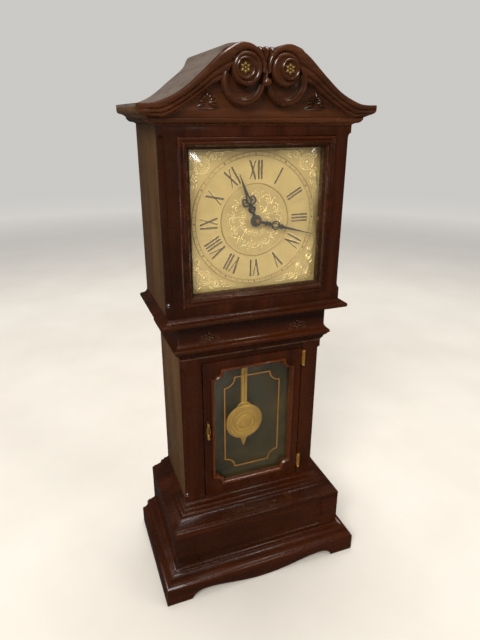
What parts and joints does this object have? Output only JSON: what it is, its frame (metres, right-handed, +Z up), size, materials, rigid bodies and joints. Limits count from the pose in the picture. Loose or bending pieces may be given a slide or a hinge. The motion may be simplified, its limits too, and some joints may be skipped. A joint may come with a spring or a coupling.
{
  "type": "miniature longcase clock",
  "caption": "Small wooden longcase clock with a swan-neck pediment, square gilt dial, glazed door and a swinging pendulum.",
  "frame": {"origin": "on the floor under the middle of the base's footprint", "axes": "+X to the clock's right as seen from the front, the dial and door face -Y, +Z up"},
  "size_m": [0.2268, 0.134, 0.541],
  "materials": {
    "mahogany": "dark red-brown stained and lacquered, worn lighter on edges",
    "side_veneer": "grey-brown flecked veneer, satin and a little dull",
    "inner_board": "plain unfinished board",
    "green_board": "very dark green, matt",
    "gilt_brass": "polished, lacquered",
    "pendulum_brass": "pressed and lacquered",
    "gilt_dial": "pale pressed gilt, satin",
    "lens": "clear, glossy",
    "window": "clear, glossy, with a gilt line",
    "black_hands": "black, satin",
    "movement_plastic": "black, moulded",
    "gear_plastic": "off-white, moulded",
    "steel": "plain steel",
    "battery_can": "plain dark sleeve"
  },
  "bodies": {
    "case": {"back_board": "inner_board", "back_screws": "steel", "base_front_rail": "mahogany", "base_left_rail": "side_veneer", "base_right_rail": "side_veneer", "base_board": "inner_board", "plinth_front_panel": "mahogany", "plinth_left_side": "side_veneer", "plinth_right_side": "side_veneer", "plinth_top_board": "mahogany", "trunk_left_side": "side_veneer", "trunk_right_side": "side_veneer", "trunk_left_stile": "mahogany", "trunk_right_stile": "mahogany", "frieze_board": "mahogany", "waist_moulding_front": "mahogany", "waist_moulding_left": "side_veneer", "waist_moulding_right": "side_veneer", "hood_base_board": "mahogany", "hood_left_side": "side_veneer", "hood_right_side": "side_veneer", "hood_front_frame": "mahogany", "dial_bezel": "mahogany", "cornice_board": "mahogany", "cornice_left": "side_veneer", "cornice_right": "side_veneer", "tympanum": "mahogany", "roof_panel": "side_veneer", "swan_neck_left": "mahogany", "swan_neck_right": "mahogany", "scroll_left": "mahogany", "scroll_right": "mahogany", "scroll_rosettes": "gilt_brass", "centre_bud": "mahogany", "carved_ornaments": "mahogany", "backdrop_board": "green_board", "case_hinge_leaves": "gilt_brass", "dial_plate": "gilt_dial", "dial_lens": "lens", "movement_housing": "movement_plastic", "movement_cover": "movement_plastic", "mounting_nut": "gilt_brass"},
    "door": {"door_frame": "mahogany", "window_bead": "mahogany", "window_glass": "window", "door_pull": "gilt_brass", "door_hinge_leaves": "gilt_brass"},
    "minute_train": {"minute_arbor": "steel", "minute_hand": "black_hands", "hand_nut": "gilt_brass", "setting_knob": "movement_plastic"},
    "hour_train": {"hour_wheel": "gear_plastic", "hour_hand": "black_hands"},
    "motion": {"motion_wheel": "gear_plastic"},
    "pendulum": {"pendulum_hanger": "movement_plastic", "pendulum_rod": "pendulum_brass", "pendulum_bob": "pendulum_brass"},
    "back_cover": {"rear_cover": "inner_board"},
    "battery_cell": {"battery": "battery_can"}
  },
  "joints": [
    {"name": "door_hinge", "type": "hinge", "parent": "case", "child": "door", "pos_m": [0.0573, -0.0256, 0.18], "axis": [0, 0, 1], "range_deg": [0, 110]},
    {"name": "minute_spin", "type": "hinge", "parent": "case", "child": "minute_train", "pos_m": [0, 0, 0.398], "axis": [0, 1, 0], "continuous": true},
    {"name": "hour_spin", "type": "hinge", "parent": "case", "child": "hour_train", "pos_m": [0, 0, 0.398], "axis": [0, 1, 0], "continuous": true},
    {"name": "motion_spin", "type": "hinge", "parent": "case", "child": "motion", "pos_m": [-0.01131, 0, 0.38669], "axis": [0, 1, 0], "continuous": true},
    {"name": "pendulum_swing", "type": "hinge", "parent": "case", "child": "pendulum", "pos_m": [0, 0.0014, 0.376], "axis": [0, 1, 0], "range_deg": [-6, 6]},
    {"name": "back_cover_lift", "type": "slide", "parent": "case", "child": "back_cover", "axis": [0, 1, 0], "range_m": [0, 0.03]},
    {"name": "battery_slide", "type": "slide", "parent": "case", "child": "battery_cell", "axis": [0, 1, 0], "range_m": [0, 0.045]}
  ],
  "couplings": [
    {"joint": "hour_spin", "follows": "minute_spin", "ratio": 0.083333},
    {"joint": "motion_spin", "follows": "minute_spin", "ratio": -0.33333}
  ]
}
